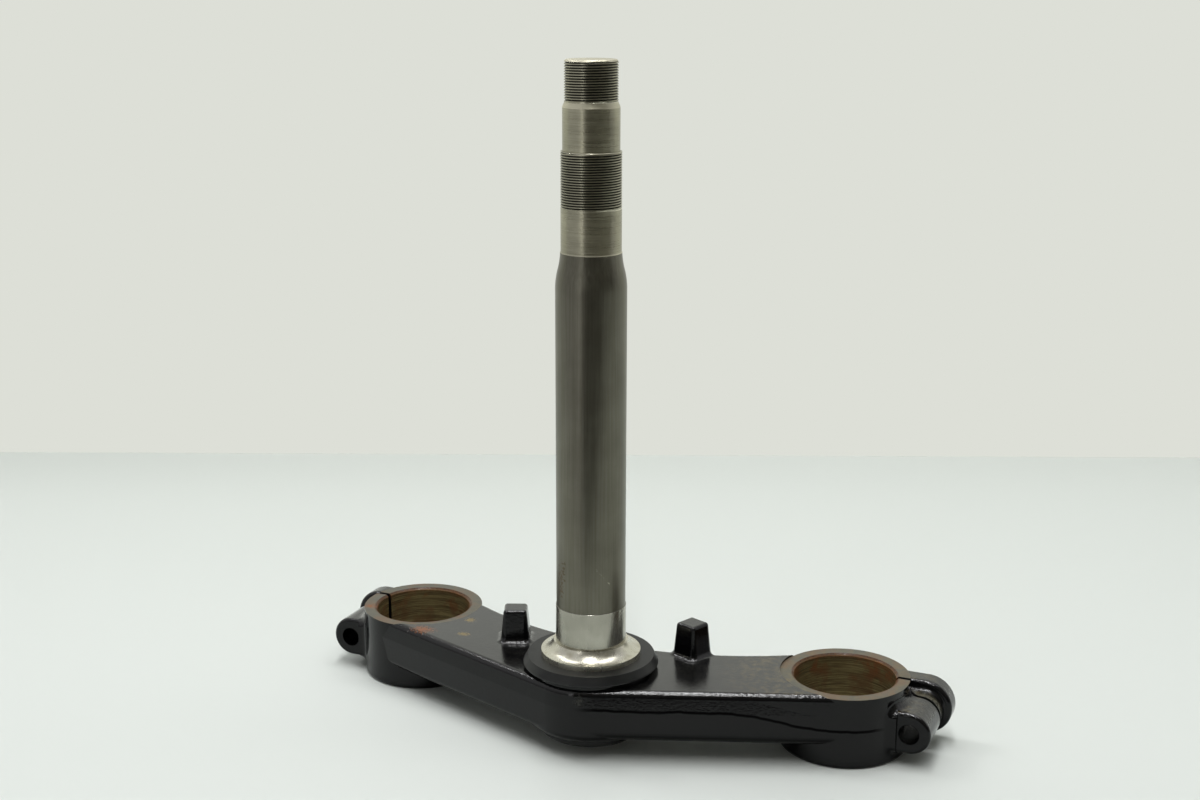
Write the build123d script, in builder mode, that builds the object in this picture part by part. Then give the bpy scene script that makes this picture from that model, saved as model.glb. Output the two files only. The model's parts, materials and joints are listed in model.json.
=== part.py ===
import os
from math import asin, atan2, cos, hypot, radians, sin, tan

from build123d import *

# Lower yoke of a motorcycle fork with its steering stem, lower bearing race and dust seal.
# Millimetres. Z is the steering axis, the fork bores lie ahead of it at +Y,
# and the undersides of the two fork clamps stand on z = 0.

# Fork clamps
fork_spacing = 209.5        # between the two fork bores
fork_offset = 38.0          # from the steering axis forward to the fork bores
fork_bore = 44.45
fork_bore_chamfer = 1.0
clamp_height = 32.0         # machined top face of the clamps
clamp_wall = 6.1
clamp_foot_round = 1.8
clamp_face_margin = 0.1     # the flat cut on a clamp reaches this far past its wall

# Forged arms
arm_top = 33.0              # forged skin, a little above the machined clamp faces
arm_bottom = 9.6
arm_parting = 24.3          # height where the two forging dies met
arm_draft = 2.5             # degrees, below the parting line
arm_top_draft = 7.0         # degrees, above it
arm_inset = 0.1             # the clamps stand proud of the arm walls by this much
arm_top_round = 3.0
arm_bottom_round = 5.0
hub_radius = 28.9           # round front of the arms about the steering axis
hub_bottom = 8.1
hub_bottom_round = 4.5
back_radius = 152.0         # hollow back edge of the arms
back_distance = 28.5        # from the steering axis to the back edge
back_corner_round = 12.0    # where the back edge runs into the clamps

# Seat for the dust seal on top and the stub below
pad_radius = 26.5
pad_height = 2.5
stub_radius = 22.3
stub_bottom = 4.2
stub_chamfer = 0.8

# Steering stops: square posts with drafted sides
lug_base = 13.5
lug_height = 15.0
lug_draft = 5.9             # degrees
lug_corner = 2.8
lug_top_round = 1.4
lug_foot_round = 2.5
lug_turn = 22.5             # degrees out of line with the fork bores
left_lug = (-44.3, 15.8)
right_lug = (36.4, 30.2)
lug_heel = 12.3             # the right post runs this far below the parting line
lug_heel_draft = 18.0       # degrees

# Pinch ears at the outer ends
ear_reach = 32.45           # from the fork bore's axis out to the pinch bolt's axis
ear_level = 15.4            # pinch bolt axis above the clamps' undersides
ear_radius = 9.25
ear_blend = 4.0             # round between an ear and its clamp
ear_front = 14.8            # from the fork bore's axis back to the bolt head's face
ear_corner = 3.0            # round of the forged ear's own edges
ear_rim = 1.65              # round at the edge of the bolt head's face
cutter_margin = 2.5         # the milling cutter reaches this far above and below the ear
face_edge = 5.3             # the milled face stops this far from the bolt's axis, short of the clamp
face_step = 1.6             # the forged skin beside the face stands this far ahead of it
ear_neck = 11.0             # from the fork bore's axis forward to the foot of the collar
ear_root = 18.0             # the flats of ear and collar run this far from the bolt into the clamp
collar_radius = 12.3
collar_rise = 1.0           # the collar's middle lies this far above the bolt
collar_front = 23.5         # from the fork bore's axis forward to the collar's face
collar_round = 2.0
pinch_hole = 8.73
slit_width = 2.0
slit_shift = 5.1            # the slit lies this far ahead of the fork bore's axis

# Steering stem, from the foot upwards
seat_diameter = 30.6        # ground seat for the lower race
seat_top = 62.5
tube_diameter = 30.1
tube_top = 202.3
flare_top = 217.6
flare_lip = 0.25            # turned shoulder at the top of the swaged flare
bearing_diameter = 25.4     # seat for the upper race, and the adjuster's thread above it
thread_top = 258.9
collar_diameter = 23.8      # seat in the top yoke
collar_top = 276.6
nut_shoulder = 1.9
nut_diameter = 22.2         # thread for the top nut
stem_top = 295.6
stem_chamfer = 0.7
stem_recess = 0.8           # the stem's foot lies this far inside the stub
tube_wall = 4.0
tube_end_wall = 6.0         # the tube's hollow stops this far below the swaged flare
press_gap = 0.01            # radial gap left between pressed pieces

# Lower bearing race and dust seal
seal_thickness = 3.84
seal_top_radius = 27.8
seal_foot_radius = 29.65
seal_lip = 0.5
seal_gap = 0.2              # around the stem
race_radius = 21.8
race_height = 6.8
race_rim = 2.3              # height of the race's plain outer rim
race_land = 1.1             # flat land beside the stem
race_track = 6.5            # radius of the ball track

half_spacing = fork_spacing / 2
fork_bore_radius = fork_bore / 2
clamp_radius = fork_bore_radius + clamp_wall
fork_places = [(-half_spacing, fork_offset), (half_spacing, fork_offset)]
stem_bore = seat_diameter / 2 + press_gap
pad_top = arm_top + pad_height
seal_top = pad_top + seal_thickness


def front_tangent(hub, clamp):
    # Ends of the straight front edge that touches the hub circle and the right clamp circle.
    reach = hypot(half_spacing, fork_offset)
    lean = atan2(fork_offset, half_spacing) + asin((hub - clamp) / reach)
    across, back = sin(lean), -cos(lean)
    on_hub = (hub * across, hub * back)
    on_clamp = (half_spacing + clamp * across, fork_offset + clamp * back)
    return on_hub, on_clamp


def back_edge(x):
    # The hollow back edge is one large arc, centred far ahead of the steering axis.
    return back_distance + back_radius - (back_radius**2 - x**2) ** 0.5


def on_clamp_circle(point, radius):
    away = hypot(abs(point.X) - half_spacing, point.Y - fork_offset)
    return abs(away - radius) < 0.01


def beside_bolt(point):
    # True for points within the ear's own length and height.
    return abs(point.X) > ear_out - ear_root and abs(point.Z - ear_level) < ear_radius + 0.01


def bolt_plane(out, level):
    # Upright plane through a pinch bolt, with +Y along the bolt; out is -1 on the left and 1 on the right.
    return Plane((out * ear_out, 0, level), x_dir=(0, 1, 0), z_dir=(1, 0, 0))


def bolt_axis(out, level):
    return Axis((out * ear_out, 0, level), (0, 1, 0))


# Lower yoke: arms, clamps, ears, stops and seats forged in one piece, then machined
arm_clamp = clamp_radius - arm_inset
hub_touch, clamp_touch = front_tangent(hub_radius, arm_clamp)
# Beside the clamps the hollow back edge leaves its arc and runs straight on into them.
arc_end_x = half_spacing - arm_clamp - back_corner_round / 2
arc_end = (arc_end_x, back_edge(arc_end_x))
back_slope = arc_end_x / (back_radius**2 - arc_end_x**2) ** 0.5
run_in = (half_spacing - arc_end_x + back_slope * (fork_offset - arc_end[1])) / (1 + back_slope**2)
back_end = (arc_end_x + run_in, arc_end[1] + back_slope * run_in)
ear_out = half_spacing + ear_reach
ear_places = [Location((-ear_out, ear_level, 0), (0, 0, 180)), Location((ear_out, ear_level, 0))]
ear_start = fork_offset - ear_front
ear_end = fork_offset + collar_front

with BuildPart() as lower_yoke:
    with BuildSketch(Plane.XY.offset(arm_parting)) as arm_plan:
        with BuildLine():
            Polyline((0, 0), hub_touch, clamp_touch, (half_spacing, fork_offset), back_end, arc_end)
            RadiusArc(arc_end, (0, back_distance), back_radius)
            Line((0, back_distance), (0, 0))
        make_face()
        mirror(about=Plane.YZ)
        Circle(hub_radius)
        with Locations(*fork_places):
            Circle(arm_clamp)
        on_clamps = arm_plan.vertices().filter_by(lambda v: on_clamp_circle(v, arm_clamp))
        back_corners = on_clamps.filter_by(lambda v: v.Y > fork_offset)
        fillet(back_corners, back_corner_round)
    extrude(arm_plan.sketch, amount=arm_top - arm_parting, taper=arm_top_draft)
    extrude(arm_plan.sketch, amount=arm_bottom - arm_parting, taper=arm_draft)
    fillet(lower_yoke.faces().sort_by(Axis.Z)[-1].edges(), arm_top_round)
    fillet(lower_yoke.faces().sort_by(Axis.Z)[0].edges(), arm_bottom_round)

    # Steering stops. The right one stands on the back edge, so its post runs down the back wall.
    lug_spread = 2 * (arm_top - arm_parting) * tan(radians(lug_draft))
    lug_root = lug_base + lug_spread
    lug_root_corner = lug_corner + lug_spread / 2
    left_post = Location((*left_lug, 0), (0, 0, lug_turn))
    right_post = Location((*right_lug, 0), (0, 0, -lug_turn))
    with BuildSketch(Plane.XY.offset(arm_parting)) as lug_plan:
        with Locations(left_post, right_post):
            RectangleRounded(lug_root, lug_root, lug_root_corner)
    extrude(lug_plan.sketch, amount=arm_top + lug_height - arm_parting, taper=lug_draft)
    lug_joins = lower_yoke.edges(Select.LAST).filter_by(lambda e: e.length < lug_base)
    lug_feet = lug_joins.filter_by(lambda e: arm_parting + 1 < e.center().Z < arm_top + 0.1)
    fillet(lug_feet, lug_foot_round)
    fillet(lower_yoke.faces().group_by(Axis.Z)[-1].edges(), lug_top_round)
    with BuildSketch(Plane.XY.offset(arm_parting)) as heel_plan:
        with Locations(right_post):
            RectangleRounded(lug_root, lug_root, lug_root_corner)
    extrude(heel_plan.sketch, amount=-lug_heel, taper=lug_heel_draft)

    # Hub underside, stub, and the raised seat for the dust seal
    with BuildSketch(Plane.XY.offset(hub_bottom)) as hub_plan:
        Circle(hub_radius - (arm_parting - hub_bottom) * tan(radians(arm_draft)))
    extrude(hub_plan.sketch, amount=arm_parting - hub_bottom, taper=-arm_draft)
    fillet(lower_yoke.faces().sort_by(Axis.Z)[0].edges(), hub_bottom_round)
    with BuildSketch(Plane.XY.offset(stub_bottom)) as stub_plan:
        Circle(stub_radius)
    extrude(stub_plan.sketch, amount=arm_parting - stub_bottom)
    chamfer(lower_yoke.faces().sort_by(Axis.Z)[0].edges(), stub_chamfer)
    with BuildSketch(Plane.XY.offset(arm_parting)) as pad_plan:
        Circle(pad_radius)
    extrude(pad_plan.sketch, amount=pad_top - arm_parting)

    # Fork clamps
    with BuildSketch() as clamp_plan:
        with GridLocations(fork_spacing, 0, 2, 1), Locations(Location((0, fork_offset, 0), (0, 0, 90))):
            Circle(clamp_radius)
    extrude(clamp_plan.sketch, amount=clamp_height)
    fillet(lower_yoke.faces().group_by(Axis.Z)[0].edges(), clamp_foot_round)

    # Pinch ears: half round outside, flat towards the clamp, blended into its wall
    ear_length = ear_end - ear_start + face_step
    for out in (-1, 1):
        with BuildSketch(bolt_plane(out, ear_level)) as ear_plan:
            with Locations((ear_end - ear_length / 2, 0)):
                RectangleRounded(ear_length, 2 * ear_radius, ear_corner)
        with BuildSketch(bolt_plane(out, ear_level)) as ear_half:
            add(ear_plan.sketch_local)
            split(bisect_by=Plane.XZ, keep=Keep.BOTTOM)
        extrude(ear_plan.sketch, amount=-out * ear_root)
        revolve(ear_half.sketch, axis=bolt_axis(out, ear_level), revolution_arc=out * 180)
    wall_edges = lower_yoke.edges().filter_by(lambda e: on_clamp_circle(e.position_at(0.5), clamp_radius))
    ear_joins = wall_edges.filter_by(lambda e: beside_bolt(e.position_at(0.5)))
    fillet(ear_joins, ear_blend)

    # Bolt head faces, milled back from outside: a step of forged skin stays beside the clamp
    cutter_radius = ear_radius + cutter_margin
    cutter_top = ear_start - 2 * ear_blend
    for out in (-1, 1):
        with BuildSketch(bolt_plane(out, ear_level)) as cutter_plan:
            with BuildLine():
                flat_end = (ear_start, ear_radius - ear_rim)
                rim_end = (ear_start + ear_rim, ear_radius)
                Polyline(flat_end, (ear_start, 0), (cutter_top, 0), (cutter_top, cutter_radius))
                Polyline((cutter_top, cutter_radius), (rim_end[0], cutter_radius), rim_end)
                TangentArc(rim_end, flat_end, tangent=(-1, 0))
            make_face()
        with BuildSketch(bolt_plane(out, ear_level)) as mill_plan:
            add(cutter_plan.sketch_local)
            mirror(about=Plane.XZ)
        revolve(cutter_plan.sketch, axis=bolt_axis(out, ear_level), revolution_arc=out * 180, mode=Mode.SUBTRACT)
        extrude(mill_plan.sketch, amount=-out * face_edge, mode=Mode.SUBTRACT)

    # Collars behind the slits: half round outside, flat towards the clamp, with a cove at the foot
    collar_level = ear_level + collar_rise
    cove = (collar_radius - ear_radius + collar_rise) / 2
    for out in (-1, 1):
        with BuildSketch(bolt_plane(out, collar_level)) as collar_plan:
            with BuildLine():
                foot = (fork_offset + ear_neck, ear_radius - collar_rise)
                bend = (foot[0] + cove, foot[1] + cove)
                crown = (bend[0] + cove, collar_radius)
                rim = (ear_end - collar_round, collar_radius)
                face = (ear_end, collar_radius - collar_round)
                Polyline(face, (ear_end, 0), (foot[0], 0), foot)
                dip = TangentArc(foot, bend, tangent=(1, 0))
                TangentArc(dip @ 1, crown, tangent=dip % 1)
                Line(crown, rim)
                TangentArc(rim, face, tangent=(1, 0))
            make_face()
        revolve(collar_plan.sketch, axis=bolt_axis(out, collar_level), revolution_arc=out * 180)
        with BuildSketch(bolt_plane(out, collar_level)) as flat_plan:
            add(collar_plan.sketch_local)
            mirror(about=Plane.XZ)
        extrude(flat_plan.sketch, amount=-out * ear_root)

    # Machined last: clamp faces, bores, slits and bolt holes
    with BuildSketch(Plane.XY.offset(clamp_height)) as clamp_face:
        with Locations(*fork_places):
            Circle(clamp_radius + clamp_face_margin)
    extrude(clamp_face.sketch, amount=pad_top - clamp_height, mode=Mode.SUBTRACT)
    with Locations(*[(x, y, clamp_height) for x, y in fork_places]):
        Hole(fork_bore_radius)
    bore_rims = lower_yoke.edges(Select.LAST).filter_by(GeomType.CIRCLE)
    chamfer(bore_rims, fork_bore_chamfer)
    with Locations((0, 0, pad_top)):
        Hole(stem_bore)
    with BuildSketch(Plane.XZ) as pinch_plan:
        with Locations(*ear_places):
            Circle(pinch_hole / 2)
    extrude(pinch_plan.sketch, amount=-2 * ear_end, mode=Mode.SUBTRACT)
    slit_length = ear_reach + collar_radius
    slit_middle = half_spacing + slit_length / 2 + 1
    with BuildSketch() as slit_plan:
        with Locations((-slit_middle, fork_offset + slit_shift), (slit_middle, fork_offset + slit_shift)):
            Rectangle(slit_length, slit_width)
    extrude(slit_plan.sketch, amount=pad_top, mode=Mode.SUBTRACT)

# Steering stem: a drawn tube swaged down at the top and turned for bearings, yoke and nuts
seat_radius = seat_diameter / 2
tube_radius = tube_diameter / 2
bearing_radius = bearing_diameter / 2
lip_radius = bearing_radius + flare_lip
yoke_seat_radius = collar_diameter / 2
nut_radius = nut_diameter / 2
stem_foot = stub_bottom + stem_recess
flare_middle = ((tube_radius + lip_radius) / 2, (tube_top + flare_top) / 2)
tube_inside = tube_radius - tube_wall
hollow_top = tube_top - tube_end_wall

with BuildPart() as steering_stem:
    with BuildSketch(Plane.XZ) as stem_profile:
        with BuildLine():
            Polyline(
                (0, hollow_top),
                (tube_inside, hollow_top),
                (tube_inside, stem_foot),
                (seat_radius, stem_foot),
                (seat_radius, seat_top),
                (tube_radius, seat_top),
                (tube_radius, tube_top),
            )
            flare = TangentArc((tube_radius, tube_top), flare_middle, tangent=(0, 1))
            TangentArc(flare @ 1, (lip_radius, flare_top), tangent=flare % 1)
            Polyline(
                (lip_radius, flare_top),
                (bearing_radius, flare_top),
                (bearing_radius, thread_top),
                (yoke_seat_radius, thread_top),
                (yoke_seat_radius, collar_top),
                (nut_radius, collar_top + nut_shoulder),
                (nut_radius, stem_top - stem_chamfer),
                (nut_radius - stem_chamfer, stem_top),
                (0, stem_top),
                (0, hollow_top),
            )
        make_face()
    revolve(axis=Axis.Z)

# Lower bearing race, pressed on to the ground seat above the dust seal
race_top = seal_top + race_height
race_inside = stem_bore

with BuildPart() as bearing_race:
    with BuildSketch(Plane.XZ) as race_profile:
        with BuildLine():
            Polyline(
                (race_inside + race_land, race_top),
                (race_inside, race_top),
                (race_inside, seal_top),
                (race_radius, seal_top),
                (race_radius, seal_top + race_rim),
            )
            RadiusArc((race_radius, seal_top + race_rim), (race_inside + race_land, race_top), race_track)
        make_face()
    revolve(axis=Axis.Z)

# Dust seal: a thin disc with a sloping rim, held down by the race
with BuildPart() as dust_seal:
    with BuildSketch(Plane.XZ) as seal_profile:
        with BuildLine():
            Polyline(
                (seat_radius + seal_gap, pad_top),
                (seal_foot_radius, pad_top),
                (seal_foot_radius, pad_top + seal_lip),
                (seal_top_radius, seal_top),
                (seat_radius + seal_gap, seal_top),
                (seat_radius + seal_gap, pad_top),
            )
        make_face()
    revolve(axis=Axis.Z)

# The handed-over frame has its origin on the ground, below the middle of the whole part.
to_middle = Location((0, (seal_foot_radius - fork_offset - clamp_radius) / 2, 0))
for piece in (lower_yoke, steering_stem, bearing_race, dust_seal):
    piece.part.move(to_middle)

lower_yoke.part.label = "lower_yoke"
steering_stem.part.label = "steering_stem"
bearing_race.part.label = "bearing_race"
dust_seal.part.label = "dust_seal"

os.makedirs("parts", exist_ok=True)
export_step(lower_yoke.part, "parts/lower_yoke.step")
export_step(steering_stem.part, "parts/steering_stem.step")
export_step(bearing_race.part, "parts/bearing_race.step")
export_step(dust_seal.part, "parts/dust_seal.step")
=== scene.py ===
import json
import math

import bmesh
import bpy
from mathutils import Matrix, Vector

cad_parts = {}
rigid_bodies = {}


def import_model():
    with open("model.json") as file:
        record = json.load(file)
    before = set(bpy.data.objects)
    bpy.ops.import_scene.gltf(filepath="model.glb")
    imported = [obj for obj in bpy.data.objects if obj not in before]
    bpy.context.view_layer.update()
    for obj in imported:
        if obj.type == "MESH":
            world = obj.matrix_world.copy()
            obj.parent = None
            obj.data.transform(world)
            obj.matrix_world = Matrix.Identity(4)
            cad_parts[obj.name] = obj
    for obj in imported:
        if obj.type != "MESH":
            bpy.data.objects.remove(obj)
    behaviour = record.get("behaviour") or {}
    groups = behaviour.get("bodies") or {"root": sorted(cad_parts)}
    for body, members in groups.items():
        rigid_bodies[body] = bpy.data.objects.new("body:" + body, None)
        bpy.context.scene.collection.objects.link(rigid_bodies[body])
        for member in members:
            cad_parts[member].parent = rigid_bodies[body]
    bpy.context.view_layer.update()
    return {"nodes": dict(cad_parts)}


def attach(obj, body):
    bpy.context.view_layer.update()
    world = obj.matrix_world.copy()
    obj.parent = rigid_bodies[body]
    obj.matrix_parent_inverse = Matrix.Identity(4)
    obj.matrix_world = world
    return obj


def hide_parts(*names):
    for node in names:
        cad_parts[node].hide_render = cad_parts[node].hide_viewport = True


for startUp in list(bpy.data.objects):      # the start-up file's own cube, lamp and camera
    bpy.data.objects.remove(startUp)
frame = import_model()
scene = bpy.context.scene
mm = 0.001
stemAxisY = -18.3375                        # the steering axis in the row frame, mm
print("frame:", sorted(frame["nodes"]))


def linear(code):
    # sRGB hex to the linear colour that the shaders want
    parts = [int(code[i:i + 2], 16) / 255 for i in (1, 3, 5)]
    return [p / 12.92 if p <= 0.04045 else ((p + 0.055) / 1.055) ** 2.4 for p in parts] + [1.0]


def addNode(tree, kind, links={}, **settings):
    # one node with its settings; links holds numbers, colours, sockets or whole nodes,
    # by the input's name or number
    made = tree.nodes.new("ShaderNode" + kind)
    for name, value in settings.items():
        setattr(made, name, value)
    for key, value in links.items():
        if isinstance(key, int):
            into = made.inputs[key]
        else:
            into = [s for s in made.inputs if s.enabled and s.name == key][0]
        if isinstance(value, bpy.types.Node):
            value = [s for s in value.outputs if s.enabled][0]
        if isinstance(value, bpy.types.NodeSocket):
            tree.links.new(value, into)
        else:
            into.default_value = value
    return made


def span(low, high, bottom=0.0, top=1.0):
    # the limits of a mask: bottom where its value is low, top where it is high
    return {"From Min": low, "From Max": high, "To Min": bottom, "To Max": top}


def newMaterial(name):
    material = bpy.data.materials.new(name)
    material.use_nodes = True
    material.node_tree.nodes.clear()
    return material, material.node_tree


def newPiece(name, bm, materials):
    mesh = bpy.data.meshes.new(name)
    bm.to_mesh(mesh)
    bm.free()
    piece = bpy.data.objects.new(name, mesh)
    scene.collection.objects.link(piece)
    for material in materials:
        mesh.materials.append(material)
    return piece


# Camera: the photograph's own place and angle, worked out for a 1200 x 800 image
cameraSetup = {
    "place": (0.27794, -0.66111, 0.33377),
    "azimuth": 23.075,      # degrees, turned from +Y towards -X
    "pitch": 14.41,         # degrees below the horizon
    "roll": 0.119,
    "lens": 51.2285,
    "sensor": 36.0,
    "nearest": 0.01,
}
cameraData = bpy.data.cameras.new("camera")
cameraData.lens = cameraSetup["lens"]
cameraData.sensor_width = cameraSetup["sensor"]
cameraData.sensor_fit = "HORIZONTAL"
cameraData.clip_start = cameraSetup["nearest"]
camera = bpy.data.objects.new("camera", cameraData)
scene.collection.objects.link(camera)
camera.matrix_world = (
    Matrix.Translation(cameraSetup["place"])
    @ Matrix.Rotation(math.radians(cameraSetup["azimuth"]), 4, "Z")
    @ Matrix.Rotation(math.radians(90 - cameraSetup["pitch"]), 4, "X")
    @ Matrix.Rotation(math.radians(cameraSetup["roll"]), 4, "Z")
)
scene.camera = camera
scene.view_settings.view_transform = "Standard"

# Stage: a pale table, a pale wall behind it and a grey card on the camera's side. A long soft box
# hangs over the camera, one over the back, two stand high on the left, and a low strip lights the stem.
stageSetup = {
    "tableColour": "#d8ddd9",
    "tableRoughness": 0.6,
    "tableWidth": 6.0,
    "tableFront": -0.29,
    "tableBack": 3.0,
    "wallColour": "#dddfd7",
    "wallRoughness": 0.7,
    "wallFoot": (-0.1705, 0.3922),
    "wallTurn": 22.55,
    "wallSize": (3.4, 0.6),
    "sheetSpecular": 0.2,     # matt, with hardly a gleam
    "cardColour": "#7a7871",
    "cardRadius": 1.25,
    "cardFoot": -0.7,
    "cardHeight": 1.9,
    "cardFrom": -10.0,        # degrees from -Y towards +X
    "cardSweep": 113.0,
    "cardSteps": 16,
    "worldColour": "#ffffff",
    "worldStrength": 0.33,
    "dimStrength": 0.03,      # the far walls of the room, low over the table
    "dimRise": (0.15, 0.45),  # how high in the sky the dim part ends and the full part starts
    "mirrorStrength": 0.50,   # the room as the paint and the steel mirror it
    "boxes": {                # place, size, what it faces, turn about its own middle, power, mirrored
        "longBox": ((0.226, -0.606, 2.10), (0.14, 2.2), (0.226, -0.606, 0.0), 19.9, 25.0, True),
        "backBox": ((0.0, 0.22, 1.20), (1.6, 0.3), (0.0, 0.22, 0.0), 0.0, 5.4, True),
        "leftBox": ((-1.45, 0.18, 1.43), (0.60, 0.60), (0.0, 0.0, 0.0), 0.0, 6.0, False),
        "edgeBox": ((-1.20, 0.06, 1.43), (0.12, 0.12), (0.0, 0.0, 0.0), 0.0, 1.5, True),
        "stripBox": ((-0.261, -1.31, 0.33), (0.08, 0.90), (0.0, -0.018, 0.33), 0.0, 0.7, True),
    },
}


def stagePiece(name, bm, backdrop):
    # plain matt sheet; its back lets light and the eye through, so that it hides nothing from behind
    material, tree = newMaterial(name + "Sheet")
    colour = linear(stageSetup[name + "Colour"])
    sheet = addNode(tree, "BsdfPrincipled", {
        "Base Color": colour,
        "Roughness": stageSetup[name + "Roughness"],
        "Specular IOR Level": stageSetup["sheetSpecular"],
    })
    if backdrop:
        # the eye and every mirror see a backdrop in its own even colour
        rays = addNode(tree, "LightPath").outputs
        seen = rays["Is Camera Ray"]
        for ray in ("Is Glossy Ray", "Is Transmission Ray"):
            seen = addNode(tree, "Math", {0: seen, 1: rays[ray]}, operation="MAXIMUM")
        even = addNode(tree, "Emission", {"Color": colour, "Strength": 1.0})
        sheet = addNode(tree, "MixShader", {0: seen, 1: sheet, 2: even})
    facing = addNode(tree, "NewGeometry").outputs["Backfacing"]
    clear = addNode(tree, "BsdfTransparent")
    both = addNode(tree, "MixShader", {0: facing, 1: sheet, 2: clear})
    addNode(tree, "OutputMaterial", {"Surface": both})
    piece = newPiece(name, bm, [material])


bm = bmesh.new()
tableDepth = stageSetup["tableBack"] - stageSetup["tableFront"]
bmesh.ops.create_grid(bm, x_segments=1, y_segments=1, size=0.5)
bmesh.ops.scale(bm, vec=(stageSetup["tableWidth"], tableDepth, 1), verts=bm.verts)
bmesh.ops.translate(bm, vec=(0, stageSetup["tableFront"] + tableDepth / 2, 0), verts=bm.verts)
stagePiece("table", bm, False)

bm = bmesh.new()
wallWidth, wallHeight = stageSetup["wallSize"]
bmesh.ops.create_grid(bm, x_segments=1, y_segments=1, size=0.5)
bmesh.ops.scale(bm, vec=(wallWidth, wallHeight, 1), verts=bm.verts)
bmesh.ops.rotate(bm, matrix=Matrix.Rotation(math.radians(90), 3, "X"), verts=bm.verts)
bmesh.ops.translate(bm, vec=(0, 0, wallHeight / 2), verts=bm.verts)
bmesh.ops.rotate(bm, matrix=Matrix.Rotation(math.radians(stageSetup["wallTurn"]), 3, "Z"), verts=bm.verts)
bmesh.ops.translate(bm, vec=(*stageSetup["wallFoot"], 0), verts=bm.verts)
stagePiece("wall", bm, True)

# the card is the dim side of the room: it darkens what is mirrored and the light on the front
bm = bmesh.new()
low = bm.verts.new((0, -stageSetup["cardRadius"], stageSetup["cardFoot"]))
high = bm.verts.new((0, -stageSetup["cardRadius"], stageSetup["cardHeight"]))
edge = bm.edges.new((low, high))
bmesh.ops.rotate(bm, matrix=Matrix.Rotation(math.radians(stageSetup["cardFrom"]), 3, "Z"), verts=bm.verts)
bmesh.ops.spin(
    bm, geom=[low, high, edge], cent=(0, 0, 0), axis=(0, 0, 1),
    angle=math.radians(stageSetup["cardSweep"]), steps=stageSetup["cardSteps"],
)
bmesh.ops.recalc_face_normals(bm, faces=bm.faces)
card, cardTree = newMaterial("cardSheet")
cardShader = addNode(cardTree, "BsdfDiffuse", {"Color": linear(stageSetup["cardColour"])})
addNode(cardTree, "OutputMaterial", {"Surface": cardShader})
darkCard = newPiece("darkCard", bm, [card])
darkCard.visible_camera = False
darkCard.visible_shadow = False

# the world: the eye sees the wall's colour, mirrors see an even room, and the light itself is dim low down
world = bpy.data.worlds.new("studio")
scene.world = world
world.use_nodes = True
room = world.node_tree
room.nodes.clear()
skyUp = addNode(room, "SeparateXYZ", {0: addNode(room, "TexCoord").outputs["Generated"]}).outputs[2]
roomRays = addNode(room, "LightPath").outputs
lowToFull = span(*stageSetup["dimRise"], stageSetup["dimStrength"], stageSetup["worldStrength"])
skyStrength = addNode(room, "MapRange", {"Value": skyUp, **lowToFull})
skyStrength = addNode(room, "Mix", {
    "Factor": roomRays["Is Diffuse Ray"], "A": stageSetup["mirrorStrength"], "B": skyStrength,
}, data_type="FLOAT")
sky = addNode(room, "Background", {"Color": linear(stageSetup["worldColour"]), "Strength": skyStrength})
farWall = addNode(room, "Background", {"Color": linear(stageSetup["wallColour"]), "Strength": 1.0})
shown = addNode(room, "MixShader", {0: roomRays["Is Camera Ray"], 1: sky, 2: farWall})
addNode(room, "OutputWorld", {"Surface": shown})

for boxName, (boxPlace, boxSize, boxFaces, boxTurn, boxPower, mirrored) in stageSetup["boxes"].items():
    boxData = bpy.data.lights.new(boxName, "AREA")
    boxData.shape = "RECTANGLE"
    boxData.size, boxData.size_y = boxSize
    boxData.energy = boxPower
    box = bpy.data.objects.new(boxName, boxData)
    aim = (Vector(boxFaces) - Vector(boxPlace)).to_track_quat("-Z", "Y").to_matrix().to_4x4()
    turn = Matrix.Rotation(math.radians(boxTurn), 4, "Z")
    box.matrix_world = Matrix.Translation(boxPlace) @ turn @ aim
    scene.collection.objects.link(box)
    box.visible_glossy = mirrored           # the left box only fills: the paint mirrors the edge box instead
print("stage: table, wall, card, soft boxes")

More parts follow.
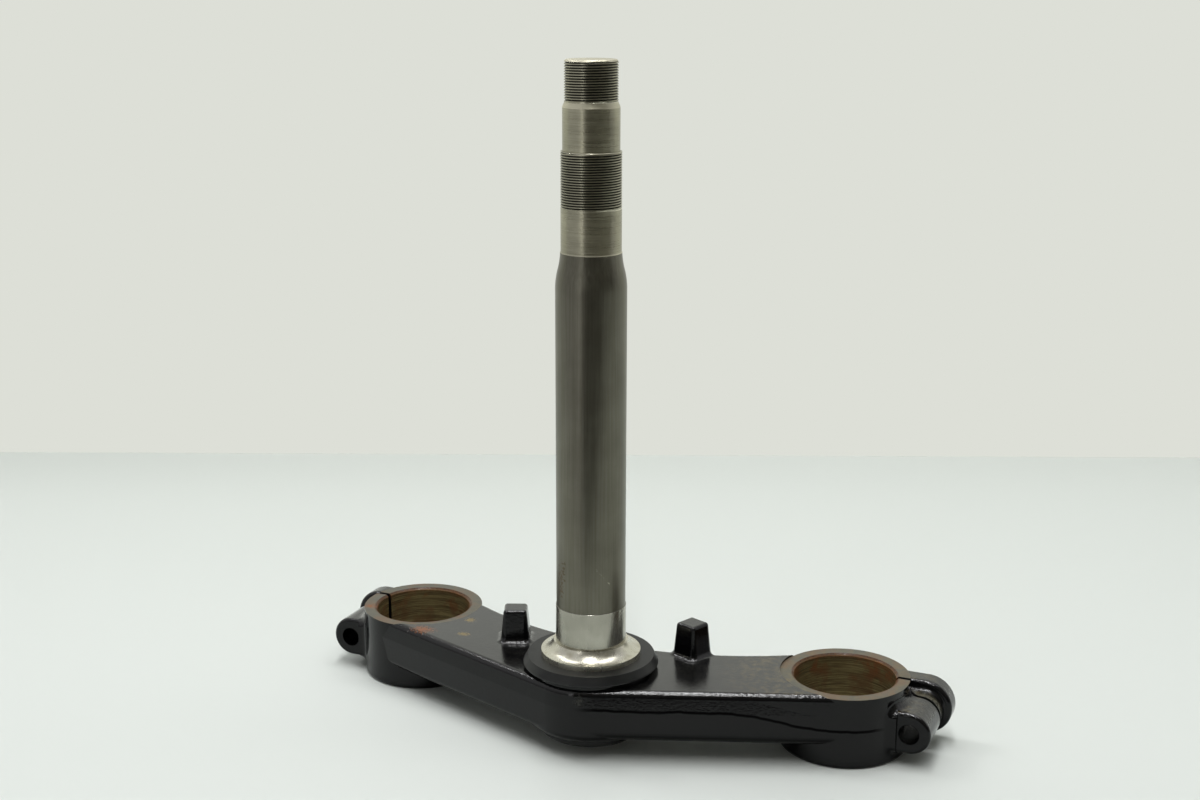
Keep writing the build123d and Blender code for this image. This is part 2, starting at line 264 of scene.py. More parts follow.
# Glossy black paint, brushed on thick over a steel forging: a clear mirror at low angles that is
# broken up along the round edges by the forged skin under it. The clamp faces are machined and worn
# back to grey steel, the bores are bare turned steel with brown rust.
paintSetup = {
    "paint": "#060607",
    "dust": "#4a4a44",
    "wornSteel": "#6a685c",
    "boreSteel": "#887a53",
    "boreDark": "#483b22",
    "rust": "#5c3d24",
    "rustOrange": "#8e5630",
    "rustTan": "#8c7a4e",
    "settledDust": "#5f5c4c",
    "chip": "#8e8f8c",
    "smudge": "#343430",
    # painted shade: near black for the die line's step, the bolt holes and the faces that look down
    "paintedShade": "#020202",
    "roughness": 0.06,
    "topRoughness": 0.20,
    "bareRoughness": 0.5,       # worn steel, rust and dirt
    "specular": 0.31,           # a little under plain gloss paint: an old coat with a film of dust
    "ior": 1.45,
    "topCoat": 0.64,            # paint that pooled on the faces and edges that look up: a second skin
    "coatRoughness": 0.16,
    "coatIor": 1.5,
    "ringMetal": 0.45,          # how metallic the worn ring and the bore look through their dirt
    "boreMetal": 0.5,
    "ringRust": 0.45,
    "boreRust": 0.6,
    "noises": [                 # size in mm, detail, roughness
        (9.0, 4.0, 0.6),        # patches of wear, rust and dust
        (1.1, 3.0, 0.6),        # flecks that fray them
        (1.5, 2.0, 0.5),        # lumps of the forged skin, strongest on the round edges
        (0.6, 1.0, 0.5),        # ripple in the paint
        (2.6, 4.0, 0.7),        # mottles beside the right clamp
    ],
    "lineWaves": (0.06, 0.06, 2.2),     # per mm along x, y, z: die scratches and turned lines
    "lumpHeight": (0.18, 0.65),         # shares of the bump on plain faces and on round edges
    "peelHeight": 0.35,
    "scratchHeight": 0.06,
    "bumpHeight": 0.26,         # mm
    "stepHeight": 0.20,         # mm, how far the skin above the die line stands proud of the face below
    "stepFade": 6.5,            # mm, over which that runs out upwards
    "forkX": 104.75,
    "forkY": 19.6625,
    "boreRadius": 22.225,
    "clampTop": 32.0,
    "clampRadius": 28.325,
    "boltX": 137.2,
    "boltZ": 15.4,
    "boltRadius": 4.365,
    "slitY": 24.7625,
    "slitHalf": 1.02,
    "slitFrom": (126.0, 128.0),         # mm from the middle, where the slit leaves the bore
    "mottleReach": (58.0, 38.0),        # mm from the bore's axis, where mottles begin and are full
    "mottleFrom": (40.0, 62.0),         # mm along x
    "partingZ": 24.6,           # height of the trimmed die line on the right arm, mm
    "partingDrop": 7.2,         # how far it drops on its way to the right clamp
    "dropSpan": (66.0, 108.0),          # mm along x, where it drops
    "dieStart": (2.0, 14.0),            # mm along x, where the line fades in and out
    "dieEnd": (128.0, 124.0),
    "dieFront": (2.0, -6.0),            # mm from the bore's middle along y: the front only
    "wanderWaves": (0.12, 0.12, 0.0),   # per mm
    "wander": 1.6,                      # mm up and down
    "wanderMiddle": 0.8,
    "markFray": 2.6,
    "markStrength": 0.7,
    "marks": [                  # place, half sizes, colour: rust, bare marks and a smudge on the hub
        ((-88.4, -10.8, 33.0), (8.0, 5.5, 2.0), "rustOrange"),
        ((-73.4, 8.2, 33.0), (3.8, 3.6, 2.0), "rustTan"),
        ((-68.4, -8.4, 33.0), (4.2, 3.0, 2.0), "rustTan"),
        ((-127.2, 7.4, 32.0), (5.0, 3.6, 2.0), "rustOrange"),
        ((-95.6, -13.5, 32.5), (2.6, 1.2, 1.5), "chip"),
        ((6.2, -46.1, 28.2), (2.8, 2.8, 3.4), "smudge"),
    ],
}


def paintedForging():
    # the numbers in each span are limits: mm for a place, -1 to 1 for a slope, 0 to 1 for a noise
    p = paintSetup
    bore, clampTop, slitY, bolt = p["boreRadius"], p["clampTop"], p["slitY"], p["boltRadius"]
    material, t = newMaterial("glossPaintOnForging")
    surface = addNode(t, "TexCoord").outputs["Object"]
    place = addNode(t, "VectorMath", {0: surface, "Scale": 1 / mm}, operation="SCALE")
    x, y, z = addNode(t, "SeparateXYZ", {0: place}).outputs
    up = addNode(t, "SeparateXYZ", {0: addNode(t, "NewGeometry").outputs["Normal"]}).outputs[2]
    side = addNode(t, "Math", {0: x}, operation="ABSOLUTE")
    boreX = addNode(t, "Math", {0: side, 1: p["forkX"]}, operation="SUBTRACT")
    boreY = addNode(t, "Math", {0: y, 1: p["forkY"]}, operation="SUBTRACT")
    toBore = addNode(t, "CombineXYZ", {0: boreX, 1: boreY})
    fromBore = addNode(t, "VectorMath", {0: toBore}, operation="LENGTH")

    # noises shared by the masks below
    coarse, fine, grain, peel, mottle = [
        addNode(t, "TexNoise", {"Vector": place, "Scale": 1 / size, "Detail": detail, "Roughness": rough})
        for size, detail, rough in p["noises"]
    ]
    along = addNode(t, "VectorMath", {0: place, 1: p["lineWaves"]}, operation="MULTIPLY")
    lines = addNode(t, "TexNoise", {"Vector": along, "Scale": 1.0, "Detail": 3.0, "Roughness": 0.7})

    # bore wall, its chamfer, and the machined ring round it
    inBore = addNode(t, "MapRange", {"Value": fromBore, **span(bore + 0.5, bore + 0.1)})
    chamferIn = addNode(t, "MapRange", {"Value": fromBore, **span(bore + 1.5, bore + 0.8)})
    chamferUp = addNode(t, "MapRange", {"Value": z, **span(clampTop - 2.6, clampTop - 0.9)})
    chamfer = addNode(t, "Math", {0: chamferIn, 1: chamferUp}, operation="MULTIPLY")
    level = addNode(t, "MapRange", {"Value": up, **span(0.85, 0.97)})
    ring = addNode(t, "Math", {0: z, 1: clampTop, 2: 0.25}, operation="COMPARE")
    ringNear = addNode(t, "Math", {0: fromBore, 1: p["clampRadius"] + 0.4}, operation="LESS_THAN")
    for share in (ringNear, level):
        ring = addNode(t, "Math", {0: ring, 1: share}, operation="MULTIPLY")
    ringWear = addNode(t, "MapRange", {"Value": coarse, **span(0.30, 0.55, 0.55)})
    worn = addNode(t, "Math", {0: ring, 1: ringWear}, operation="MULTIPLY")

    # brown rust on the chamfer and in patches down the bore
    rustPatch = addNode(t, "MapRange", {"Value": coarse, **span(0.46, 0.62)})
    rimRust = addNode(t, "MapRange", {"Value": fine, **span(0.30, 0.60, 0.35, 0.95)})
    rimRust = addNode(t, "Math", {0: rimRust, 1: chamfer}, operation="MULTIPLY")
    boreRust = addNode(t, "Math", {0: rustPatch, 1: inBore}, operation="MULTIPLY")
    wallRust = addNode(t, "Math", {0: boreRust, 1: p["boreRust"]}, operation="MULTIPLY")
    rust = addNode(t, "Math", {0: rimRust, 1: wallRust}, operation="MAXIMUM")
    # orange rust comes through on the worn ring and just under the bore's rim
    underRim = addNode(t, "MapRange", {"Value": z, **span(clampTop - 13.0, clampTop - 3.0)})
    underRim = addNode(t, "Math", {0: underRim, 1: boreRust}, operation="MULTIPLY")
    ringRust = addNode(t, "Math", {0: rustPatch, 1: ring}, operation="MULTIPLY")
    ringRust = addNode(t, "Math", {0: ringRust, 1: p["ringRust"]}, operation="MULTIPLY")
    fresh = addNode(t, "Math", {0: underRim, 1: ringRust}, operation="MAXIMUM")
    fresh = addNode(t, "Math", {0: fresh, 1: fine}, operation="MULTIPLY")

    # the slit is black; dust and tan rust lie in the hollow behind it, on what faces up
    fromSlit = addNode(t, "Math", {0: y, 1: slitY}, operation="SUBTRACT")
    fromSlit = addNode(t, "Math", {0: fromSlit}, operation="ABSOLUTE")
    inSlit = addNode(t, "MapRange", {"Value": fromSlit, **span(p["slitHalf"] + 0.1, p["slitHalf"])})
    slitOut = addNode(t, "MapRange", {"Value": side, **span(*p["slitFrom"])})
    inSlit = addNode(t, "Math", {0: inSlit, 1: slitOut}, operation="MULTIPLY")
    hollow = addNode(t, "MapRange", {"Value": y, **span(slitY + 0.9, slitY + 1.3)})
    hollowEnd = addNode(t, "MapRange", {"Value": y, **span(slitY + 6.0, slitY + 3.0)})
    hollowUp = addNode(t, "MapRange", {"Value": up, **span(0.05, 0.5, top=0.65)})
    slitRust = addNode(t, "MapRange", {"Value": fine, **span(0.30, 0.60, 0.25)})
    for share in (hollow, hollowEnd, hollowUp, slitOut):
        slitRust = addNode(t, "Math", {0: slitRust, 1: share}, operation="MULTIPLY")

    # brown and tan mottles beside the right clamp, and dust on the level faces
    mottle = addNode(t, "MapRange", {"Value": mottle, **span(0.46, 0.72, top=0.32)})
    mottleNear = addNode(t, "MapRange", {"Value": fromBore, **span(*p["mottleReach"])})
    mottleRight = addNode(t, "MapRange", {"Value": x, **span(*p["mottleFrom"])})
    for share in (mottleNear, mottleRight, level):
        mottle = addNode(t, "Math", {0: mottle, 1: share}, operation="MULTIPLY")
    topDust = addNode(t, "MapRange", {"Value": fine, **span(0.42, 0.72, top=0.34)})
    dusty = addNode(t, "MapRange", {"Value": coarse, **span(0.36, 0.62)})
    for share in (dusty, level):
        topDust = addNode(t, "Math", {0: topDust, 1: share}, operation="MULTIPLY")

    # single marks, each a ball of its half sizes with a frayed edge
    marks = []
    for markPlace, halfSizes, tone in p["marks"]:
        away = addNode(t, "VectorMath", {0: place, 1: markPlace}, operation="SUBTRACT")
        away = addNode(t, "VectorMath", {0: away, 1: halfSizes}, operation="DIVIDE")
        away = addNode(t, "VectorMath", {0: away}, operation="LENGTH")
        away = addNode(t, "Math", {0: fine, 1: p["markFray"], 2: away}, operation="MULTIPLY_ADD")
        mark = addNode(t, "MapRange", {"Value": away, **span(2.1, 1.5, top=p["markStrength"])})
        marks.append((mark, linear(p[tone])))

    # the trimmed die line along the right arm and hub: a step that drops towards the clamp, painted dark
    # along the line as shade
    drop = span(*p["dropSpan"], p["partingZ"], p["partingZ"] - p["partingDrop"])
    parting = addNode(t, "MapRange", {"Value": x, **drop}, interpolation_type="SMOOTHSTEP")
    wander = addNode(t, "VectorMath", {0: place, 1: p["wanderWaves"]}, operation="MULTIPLY")
    wander = addNode(t, "TexNoise", {"Vector": wander, "Scale": 1.0, "Detail": 2.0})
    parting = addNode(t, "Math", {0: wander, 1: p["wander"], 2: parting}, operation="MULTIPLY_ADD")
    above = addNode(t, "Math", {0: z, 1: parting}, operation="SUBTRACT")
    above = addNode(t, "Math", {0: above, 1: p["wanderMiddle"]}, operation="ADD")
    step = addNode(t, "MapRange", {"Value": above, **span(-0.7, 0.5)}, interpolation_type="SMOOTHSTEP")
    stepFade = addNode(t, "MapRange", {"Value": above, **span(p["stepFade"], 0.5)})
    dieStart = addNode(t, "MapRange", {"Value": x, **span(*p["dieStart"])}, interpolation_type="SMOOTHSTEP")
    dieFront = addNode(t, "MapRange", {"Value": boreY, **span(*p["dieFront"])})
    dieEnd = addNode(t, "MapRange", {"Value": x, **span(*p["dieEnd"])})
    fromLine = addNode(t, "Math", {0: above}, operation="ABSOLUTE")
    paintedShade = addNode(t, "MapRange", {"Value": fromLine, **span(0.85, 0.35, top=0.92)})
    for share in (dieStart, dieFront, dieEnd):
        step = addNode(t, "Math", {0: step, 1: share}, operation="MULTIPLY")
        paintedShade = addNode(t, "Math", {0: paintedShade, 1: share}, operation="MULTIPLY")
    step = addNode(t, "Math", {0: step, 1: stepFade}, operation="MULTIPLY")

    # painted shade: fully metallic near black, which gives no light back where paint would, along the step,
    # on the walls of the bolt holes and on the faces that look down
    boltX = addNode(t, "Math", {0: side, 1: p["boltX"]}, operation="SUBTRACT")
    boltZ = addNode(t, "Math", {0: z, 1: p["boltZ"]}, operation="SUBTRACT")
    toBolt = addNode(t, "CombineXYZ", {0: boltX, 1: boltZ})
    fromBolt = addNode(t, "VectorMath", {0: toBolt}, operation="LENGTH")
    # painted shade on the walls of the bolt holes
    holeShade = addNode(t, "MapRange", {"Value": fromBolt, **span(bolt + 0.4, bolt + 0.1, top=0.8)})
    # painted shade on the faces that look down, as under the arms
    undersideShade = addNode(t, "MapRange", {"Value": up, **span(-0.05, -0.35, top=0.7)})
    for share in (holeShade, undersideShade):
        paintedShade = addNode(t, "Math", {0: paintedShade, 1: share}, operation="MAXIMUM")

    # colour, from the paint upwards
    boreTone = addNode(t, "MapRange", {"Value": lines, **span(0.35, 0.65)})
    boreColour = addNode(t, "Mix", {
        "Factor": boreTone, "A": linear(p["boreDark"]), "B": linear(p["boreSteel"]),
    }, data_type="RGBA")
    layers = [
        (topDust, linear(p["dust"])),
        (worn, linear(p["wornSteel"])),
        (inBore, boreColour),
        (rust, linear(p["rust"])),
        (fresh, linear(p["rustOrange"])),
        (slitRust, linear(p["settledDust"])),
        (mottle, linear(p["rustTan"])),
        (inSlit, linear(p["paint"])),
        *marks,
        # the painted shade goes on over everything else
        (paintedShade, linear(p["paintedShade"])),
    ]
    colour = linear(p["paint"])
    for share, over in layers:
        colour = addNode(t, "Mix", {"Factor": share, "A": colour, "B": over}, data_type="RGBA")

    # height: forged lumps and paint ripple, die scratches on the walls, turned lines in the bore, the step
    edgeLow = addNode(t, "MapRange", {"Value": up, **span(0.25, 0.50)})
    edgeHigh = addNode(t, "MapRange", {"Value": up, **span(0.995, 0.93)})
    lumps = addNode(t, "Math", {0: edgeLow, 1: edgeHigh}, operation="MULTIPLY")
    lumps = addNode(t, "MapRange", {"Value": lumps, **span(0.0, 1.0, *p["lumpHeight"])})
    skin = addNode(t, "Math", {0: peel, 1: p["peelHeight"], 2: grain}, operation="MULTIPLY_ADD")
    skin = addNode(t, "Math", {0: skin, 1: lumps}, operation="MULTIPLY")
    skin = addNode(t, "Math", {0: lines, 1: p["scratchHeight"], 2: skin}, operation="MULTIPLY_ADD")
    height = addNode(t, "Mix", {"Factor": inBore, "A": skin, "B": lines}, data_type="FLOAT")
    stepShare = p["stepHeight"] / p["bumpHeight"]
    height = addNode(t, "Math", {0: step, 1: stepShare, 2: height}, operation="MULTIPLY_ADD")
    bump = addNode(t, "Bump", {"Strength": 1.0, "Distance": p["bumpHeight"] * mm, "Height": height})

    # gloss: the paint's own, duller on the level faces, and matt on all that is bare or dirty
    metallic = addNode(t, "Math", {0: worn, 1: p["ringMetal"]}, operation="MULTIPLY")
    boreMetal = addNode(t, "Math", {0: inBore, 1: p["boreMetal"]}, operation="MULTIPLY")
    # the bore is half metallic and the painted shade fully metallic, so it gives no light back
    for share in (boreMetal, paintedShade):
        metallic = addNode(t, "Math", {0: metallic, 1: share}, operation="MAXIMUM")
    bare = worn
    for share in [inBore, rust, slitRust, inSlit] + [mark for mark, over in marks]:
        bare = addNode(t, "Math", {0: bare, 1: share}, operation="MAXIMUM")
    brushed = span(0.3, 0.7, p["roughness"] - 0.03, p["roughness"] + 0.05)
    rough = addNode(t, "MapRange", {"Value": coarse, **brushed})
    for share, over in ((level, p["topRoughness"]), (bare, p["bareRoughness"])):
        rough = addNode(t, "Mix", {"Factor": share, "A": rough, "B": over}, data_type="FLOAT")
    coat = addNode(t, "MapRange", {"Value": up, **span(0.25, 0.55)})
    coat = addNode(t, "Math", {0: coat, 1: bare}, operation="SUBTRACT", use_clamp=True)
    coat = addNode(t, "Math", {0: coat, 1: p["topCoat"]}, operation="MULTIPLY")
    shader = addNode(t, "BsdfPrincipled", {
        "Base Color": colour, "Metallic": metallic, "Roughness": rough,
        "IOR": p["ior"], "Specular IOR Level": p["specular"], "Normal": bump,
        "Coat Weight": coat, "Coat Roughness": p["coatRoughness"], "Coat IOR": p["coatIor"],
        "Coat Normal": bump,
    })
    addNode(t, "OutputMaterial", {"Surface": shader})
    return material


frame["nodes"]["lower_yoke"].material_slots[0].material = paintedForging()
print("yoke: painted")

# Stem finishes. Drawn steel tube: dull olive-grey with faint streaks along it and a few rust specks.
# Turned steel: brighter, with fine rings round it. Ground steel: bright and smooth.
stemSetup = {
    "finishes": {               # two tones, roughness, streaks per mm along x, y and z, their height in mm
        "groundSteel": (("#acaa9e", "#b8b6aa"), 0.24, (0.4, 0.4, 0.05), 0.001),
        "drawnSteelTube": (("#6a685c", "#77756a"), 0.33, (1.1, 1.1, 0.02), 0.004),
        "turnedSteel": (("#9f9c87", "#b5b29d"), 0.30, (0.05, 0.05, 3.0), 0.005),
        # a lighter copy of the turned steel for the faces that look up: painted highlight
        "turnedEdgePaintedHighlight": (("#c8c4ae", "#d9d5c0"), 0.45, (0.05, 0.05, 3.0), 0.004),
    },
    "cloudSize": 14.0,          # mm, clouds of a darker tone
    "cloud": "#57554a",
    "crest": "#e0ddc9",
    # dark oil in the thread roots, and painted shade there and under the teeth
    "oilAndShade": "#15140e",
    "speck": "#4a3a16",
    "speckSize": 1.3,
    "speckPlace": (-8.4, -12.5, 77.0),      # from the steering axis, mm
    "speckSpread": (4.5, 6.0, 15.0),
    "scratchTone": "#c8c4ae",
    "scratch": ((8.0, -31.0, 83.0), (12.6, -26.6, 75.4)),
    "scratchWidth": (0.5, 0.2),             # mm, from its edge to its bright middle
    "steps": 128,               # faces round the stem
    "smoothAngle": 28.0,
    "pitch": 25.4 / 24,
    "threadDepth": 0.60,
    "tooth": (0.38, 0.62, 0.76),            # shares of a turn: the crest's end, the root's start and end
    "bearingFade": (1.2, 0.3),              # turns over which the teeth run out below and above
    "nutFade": (0.6, 0.05),
    "strip": 0.3,               # plain strip that joins a thread to what is below it
    "toothEnd": 0.25,           # the bearing thread's teeth stop this far below its top
    "edgeStart": (0.05, 0.12),  # the broken edge at that top: its foot, in and down
    "edgeBreak": 0.15,
    "nutFoot": 0.1,
    "topChamfer": 0.7,
    "seat": 15.3,
    "tube": 15.05,
    "lip": 12.95,
    "lipHeight": 0.5,
    "bearing": 12.7,
    "yokeSeat": 11.9,
    "nut": 11.1,
    "foot": 5.0,
    "footRound": (0.5, 2),      # round and its segments
    "seatTop": 62.5,
    "seatRound": (0.08, 1),
    "tubeTop": 202.3,
    "flareTop": 217.6,
    "flareRound": (3.89, 10),   # the flare's two bends
    "threadLow": 235.4,
    "threadTop": 258.9,
    "collarTop": 276.6,
    "collarRound": (0.15, 2),
    "nutLow": 278.5,
    "nutTop": 294.9,
    "top": 295.6,
    "tubeInside": 11.05,
    "hollowTop": 196.3,
}


def stemFinish(name):
    s = stemSetup
    tones, roughness, stretch, bumpHeight = s["finishes"][name]
    material, t = newMaterial(name)
    surface = addNode(t, "TexCoord").outputs["Object"]
    place = addNode(t, "VectorMath", {0: surface, "Scale": 1 / mm}, operation="SCALE")
    fromAxis = addNode(t, "VectorMath", {0: place, 1: (0, stemAxisY, 0)}, operation="SUBTRACT")
    across = addNode(t, "VectorMath", {0: fromAxis, 1: (1, 1, 0)}, operation="MULTIPLY")
    radius = addNode(t, "VectorMath", {0: across}, operation="LENGTH")
    streak = addNode(t, "VectorMath", {0: fromAxis, 1: stretch}, operation="MULTIPLY")
    if name in ("turnedSteel", "turnedEdgePaintedHighlight"):
        # the tool's marks run round the faces as well as round the cylinders
        facing = addNode(t, "VectorMath", {0: (0, 0, stretch[2]), "Scale": radius}, operation="SCALE")
        streak = addNode(t, "VectorMath", {0: streak, 1: facing}, operation="ADD")
    streaks = addNode(t, "TexNoise", {"Vector": streak, "Scale": 1.0, "Detail": 4.0, "Roughness": 0.65})
    cloud = addNode(t, "TexNoise", {"Vector": place, "Scale": 1 / s["cloudSize"], "Detail": 3.0})
    tone = addNode(t, "MapRange", {"Value": streaks, **span(0.35, 0.68)})
    shade = addNode(t, "MapRange", {"Value": cloud, **span(0.35, 0.7, top=0.35)})
    rough = addNode(t, "MapRange", {"Value": streaks, **span(0.3, 0.7, roughness - 0.05, roughness + 0.06)})
    layers = [(tone, tones[1]), (shade, s["cloud"])]
    metallic = 1.0
    if name == "drawnSteelTube":
        # rust specks gather in a patch on the left, low down, and one bright scratch runs across
        grain = addNode(t, "TexNoise", {"Vector": place, "Scale": 1 / s["speckSize"], "Detail": 2.0})
        patch = addNode(t, "VectorMath", {0: fromAxis, 1: s["speckPlace"]}, operation="SUBTRACT")
        patch = addNode(t, "VectorMath", {0: patch, 1: s["speckSpread"]}, operation="DIVIDE")
        patch = addNode(t, "VectorMath", {0: patch}, operation="LENGTH")
        patch = addNode(t, "MapRange", {"Value": patch, **span(1.0, 0.4, top=0.30)})
        speck = addNode(t, "Math", {0: grain, 1: patch}, operation="ADD")
        speck = addNode(t, "MapRange", {"Value": speck, **span(0.78, 0.83, top=0.85)})
        start, end = Vector(s["scratch"][0]), Vector(s["scratch"][1])
        run = end - start
        fromStart = addNode(t, "VectorMath", {0: place, 1: start}, operation="SUBTRACT")
        share = addNode(t, "VectorMath", {0: fromStart, 1: run / run.length_squared}, operation="DOT_PRODUCT")
        share = addNode(t, "Math", {0: share, 1: 0.0}, operation="ADD", use_clamp=True)
        nearest = addNode(t, "VectorMath", {0: run, "Scale": share}, operation="SCALE")
        scratch = addNode(t, "VectorMath", {0: fromStart, 1: nearest}, operation="DISTANCE")
        scratch = addNode(t, "MapRange", {"Value": scratch, **span(*s["scratchWidth"])})
        broken = addNode(t, "MapRange", {"Value": grain, **span(0.45, 0.65, top=0.5)})
        scratch = addNode(t, "Math", {0: scratch, 1: broken}, operation="MULTIPLY")
        layers += [(scratch, s["scratchTone"]), (speck, s["speck"])]
        metallic = addNode(t, "MapRange", {"Value": speck, **span(0.0, 1.0, 1.0, 0.2)})
    if name == "turnedSteel":
        # oil lies dark in the roots of the threads, with painted shade there too; the flanks that face down
        # under the teeth are painted dark as shade, and the crests are rubbed bright
        height = addNode(t, "SeparateXYZ", {0: place}).outputs[2]
        change = span(s["threadTop"] - 0.05, s["threadTop"] + 0.05, s["bearing"], s["nut"])
        crest = addNode(t, "MapRange", {"Value": height, **change})
        below = addNode(t, "Math", {0: crest, 1: radius}, operation="SUBTRACT")
        root = addNode(t, "MapRange", {"Value": below, **span(0.08, 0.32, top=0.95)})
        inThread = addNode(t, "MapRange", {"Value": below, **span(0.002, 0.03, top=0.8)})
        under = addNode(t, "SeparateXYZ", {0: addNode(t, "NewGeometry").outputs["Normal"]}).outputs[2]
        under = addNode(t, "MapRange", {"Value": under, **span(-0.1, -0.5)})
        under = addNode(t, "Math", {0: under, 1: inThread}, operation="MULTIPLY")
        root = addNode(t, "Math", {0: under, 1: root}, operation="MAXIMUM")
        layers += [(inThread, s["crest"]), (root, s["oilAndShade"])]
    colour = linear(tones[0])
    for share, over in layers:
        colour = addNode(t, "Mix", {"Factor": share, "A": colour, "B": linear(over)}, data_type="RGBA")
    bump = addNode(t, "Bump", {"Strength": 1.0, "Distance": bumpHeight * mm, "Height": streaks})
    shader = addNode(t, "BsdfPrincipled", {
        "Base Color": colour, "Metallic": metallic, "Roughness": rough, "Normal": bump,
    })
    addNode(t, "OutputMaterial", {"Surface": shader})
    return material


def lathe(points, rounds=()):
    # a profile of (radius, height) corners in mm, some of them rounded, spun once round the steering axis
    bm = bmesh.new()
    corners = [bm.verts.new((r * mm, stemAxisY * mm, h * mm)) for r, h in points]
    for a, b in zip(corners, corners[1:]):
        bm.edges.new((a, b))
    for number, (offset, segments) in rounds:
        bmesh.ops.bevel(
            bm, geom=[corners[number]], offset=offset * mm, offset_type="OFFSET", segments=segments,
            profile=0.5, affect="VERTICES", material=-1,
        )
    bmesh.ops.spin(
        bm, geom=bm.verts[:] + bm.edges[:], cent=(0, stemAxisY * mm, 0), axis=(0, 0, 1),
        angle=2 * math.pi, steps=stemSetup["steps"], use_merge=True,
    )
    return bm


def threadSleeve(crest, low, high, fade):
    # one screw turn of the whole toothed profile: each turn lands on the tooth above
    s = stemSetup
    pitch, root = s["pitch"], crest - s["threadDepth"]
    crestEnd, rootStart, rootEnd = s["tooth"]
    bm = bmesh.new()
    corners = []
    start = low - 1.5 * pitch
    for turn in range(math.ceil((high - low) / pitch) + 3):
        for share, radius in ((0.0, crest), (crestEnd, crest), (rootStart, root), (rootEnd, root)):
            height = start + (turn + share) * pitch
            corners.append(bm.verts.new((radius * mm, stemAxisY * mm, height * mm)))
    for a, b in zip(corners, corners[1:]):
        bm.edges.new((a, b))
    bmesh.ops.spin(
        bm, geom=bm.verts[:] + bm.edges[:], cent=(0, stemAxisY * mm, 0), axis=(0, 0, 1),
        angle=2 * math.pi, steps=s["steps"], dvec=(0, 0, pitch * mm / s["steps"]),
    )
    bmesh.ops.remove_doubles(bm, verts=bm.verts, dist=0.002 * mm)
    # the teeth run out at both ends
    for v in bm.verts:
        fromLow = (v.co.z / mm - low) / pitch / fade[0]
        fromHigh = (high - v.co.z / mm) / pitch / fade[1]
        depth = min(max(fromLow, 0.0), max(fromHigh, 0.0), 1.0)
        flat = Vector((v.co.x, v.co.y - stemAxisY * mm))
        flat *= (crest * mm - (crest * mm - flat.length) * depth) / flat.length
        v.co.x, v.co.y = flat.x, flat.y + stemAxisY * mm
    for height, inner in ((low, True), (high, False)):
        bmesh.ops.bisect_plane(
            bm, geom=bm.verts[:] + bm.edges[:] + bm.faces[:], plane_co=(0, 0, height * mm),
            plane_no=(0, 0, 1), clear_inner=inner, clear_outer=not inner,
        )
    return bm


def buildStem():
    s = stemSetup
    bend = s["flareRound"][0]
    lipFoot = s["flareTop"] - s["lipHeight"]
    edgeIn, edgeDown = s["edgeStart"]
    lower = lathe([
        (s["tubeInside"], s["foot"]), (s["seat"], s["foot"]), (s["seat"], s["seatTop"]),
        (s["tube"], s["seatTop"]), (s["tube"], s["tubeTop"] + bend), (s["lip"], s["flareTop"] - bend),
        (s["lip"], lipFoot), (s["bearing"], s["flareTop"]), (s["bearing"], s["threadLow"] - s["strip"]),
    ], [(1, s["footRound"]), (2, s["seatRound"]), (4, s["flareRound"]), (5, s["flareRound"])])
    middle = lathe([
        (s["bearing"] - edgeIn, s["threadTop"] - edgeDown), (s["bearing"] - s["edgeBreak"], s["threadTop"]),
        (s["yokeSeat"], s["threadTop"]), (s["yokeSeat"], s["collarTop"]),
        (s["nut"], s["nutLow"]), (s["nut"], s["nutLow"] + s["nutFoot"]),
    ], [(3, s["collarRound"])])
    chamfer = s["topChamfer"]
    upper = lathe([
        (s["nut"] - chamfer / 2, s["top"] - chamfer / 2), (s["nut"] - chamfer, s["top"]), (0.0, s["top"]),
    ])
    hollow = lathe([(0.0, s["hollowTop"]), (s["tubeInside"], s["hollowTop"]), (s["tubeInside"], s["foot"])])
    toothTop = s["threadTop"] - s["toothEnd"]
    bearingThread = threadSleeve(s["bearing"], s["threadLow"], toothTop, s["bearingFade"])
    nutThread = threadSleeve(s["nut"], s["nutLow"] + s["strip"], s["nutTop"], s["nutFade"])

    # one mesh of them all; what is still open is bridged in pairs, from the foot up
    bm = bmesh.new()
    for part in (lower, bearingThread, middle, nutThread, upper, hollow):
        joined = bpy.data.meshes.new("stemPart")
        part.to_mesh(joined)
        part.free()
        bm.from_mesh(joined)
        bpy.data.meshes.remove(joined)
    bmesh.ops.remove_doubles(bm, verts=bm.verts, dist=0.001 * mm)
    rims = {}
    for e in bm.edges:
        if e.is_boundary:
            rims.setdefault(round((e.verts[0].co.z + e.verts[1].co.z) / 2 / mm, 2), []).append(e)
    heights = sorted(rims)
    print("stem: open rims at", heights)
    for lowRim, highRim in zip(heights[0::2], heights[1::2]):
        bmesh.ops.bridge_loops(bm, edges=rims[lowRim] + rims[highRim])
    bmesh.ops.recalc_face_normals(bm, faces=bm.faces)

    # ground, drawn and turned steel; the faces that look up (the cone under the nut, the flare's lip and the
    # top) get a lighter copy of the turned finish: painted highlight
    for f in bm.faces:
        middleZ = f.calc_center_median().z / mm
        onCone = s["collarTop"] - 0.2 < middleZ < s["nutLow"] + s["nutFoot"]
        onLip = lipFoot < middleZ < s["flareTop"]
        f.smooth = True
        f.material_index = 0 if middleZ < s["seatTop"] else 1 if middleZ < lipFoot else 2
        if onCone or onLip or middleZ > s["nutTop"]:
            f.material_index = 3
    for e in bm.edges:
        e.smooth = e.calc_face_angle(0) < math.radians(s["smoothAngle"])
    print("stem: open edges left", sum(e.is_boundary for e in bm.edges), "faces", len(bm.faces))
    stem = newPiece("turnedStem", bm, [stemFinish(name) for name in s["finishes"]])
    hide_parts("steering_stem")
    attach(stem, "root")


buildStem()

# Hardened bearing steel, ground and polished by the balls: a bright warm mirror in the track
raceSetup = {
    "steel": "#d8d5c6",
    "stain": "#9a9272",
    "cloudSize": 5.0,           # mm
    "roughness": 0.28,
}


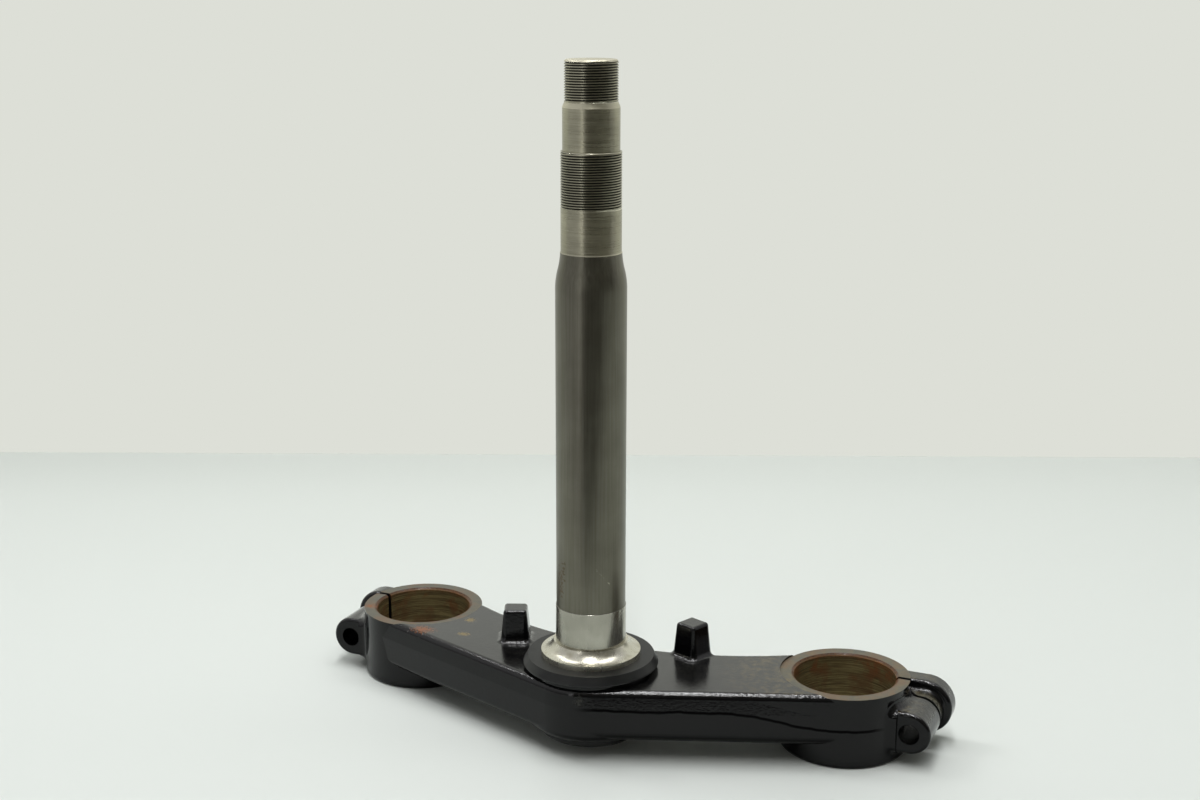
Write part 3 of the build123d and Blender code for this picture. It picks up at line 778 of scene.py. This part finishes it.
def bearingSteel():
    r = raceSetup
    material, t = newMaterial("polishedBearingSteel")
    surface = addNode(t, "TexCoord").outputs["Object"]
    place = addNode(t, "VectorMath", {0: surface, "Scale": 1 / mm}, operation="SCALE")
    cloud = addNode(t, "TexNoise", {
        "Vector": place, "Scale": 1 / r["cloudSize"], "Detail": 4.0, "Roughness": 0.6,
    })
    stain = addNode(t, "MapRange", {"Value": cloud, **span(0.5, 0.72, top=0.6)})
    colour = addNode(t, "Mix", {
        "Factor": stain, "A": linear(r["steel"]), "B": linear(r["stain"]),
    }, data_type="RGBA")
    polished = span(0.3, 0.7, r["roughness"] - 0.04, r["roughness"] + 0.08)
    rough = addNode(t, "MapRange", {"Value": cloud, **polished})
    shader = addNode(t, "BsdfPrincipled", {"Base Color": colour, "Metallic": 1.0, "Roughness": rough})
    addNode(t, "OutputMaterial", {"Surface": shader})
    return material


frame["nodes"]["bearing_race"].material_slots[0].material = bearingSteel()

# Moulded nitrile rubber, a little dusty: satin dark grey with a soft sheen at low angles
sealSetup = {
    "rubber": "#0f1010",
    "dust": "#30322f",
    "cloudSize": 8.0,           # mm
    "grain": 0.8,               # mm
    "grainHeight": 0.006,       # mm
    "roughness": 0.42,
    "specular": 0.35,
    "ior": 1.52,
}


def mouldedRubber():
    s = sealSetup
    material, t = newMaterial("mouldedRubber")
    surface = addNode(t, "TexCoord").outputs["Object"]
    place = addNode(t, "VectorMath", {0: surface, "Scale": 1 / mm}, operation="SCALE")
    grain = addNode(t, "TexNoise", {"Vector": place, "Scale": 1 / s["grain"], "Detail": 3.0})
    cloud = addNode(t, "TexNoise", {"Vector": place, "Scale": 1 / s["cloudSize"], "Detail": 3.0})
    dust = addNode(t, "MapRange", {"Value": cloud, **span(0.4, 0.75, top=0.35)})
    colour = addNode(t, "Mix", {
        "Factor": dust, "A": linear(s["rubber"]), "B": linear(s["dust"]),
    }, data_type="RGBA")
    bump = addNode(t, "Bump", {"Strength": 1.0, "Distance": s["grainHeight"] * mm, "Height": grain})
    shader = addNode(t, "BsdfPrincipled", {
        "Base Color": colour, "Roughness": s["roughness"], "IOR": s["ior"],
        "Specular IOR Level": s["specular"], "Normal": bump,
    })
    addNode(t, "OutputMaterial", {"Surface": shader})
    return material


frame["nodes"]["dust_seal"].material_slots[0].material = mouldedRubber()
print("race and seal: finished")
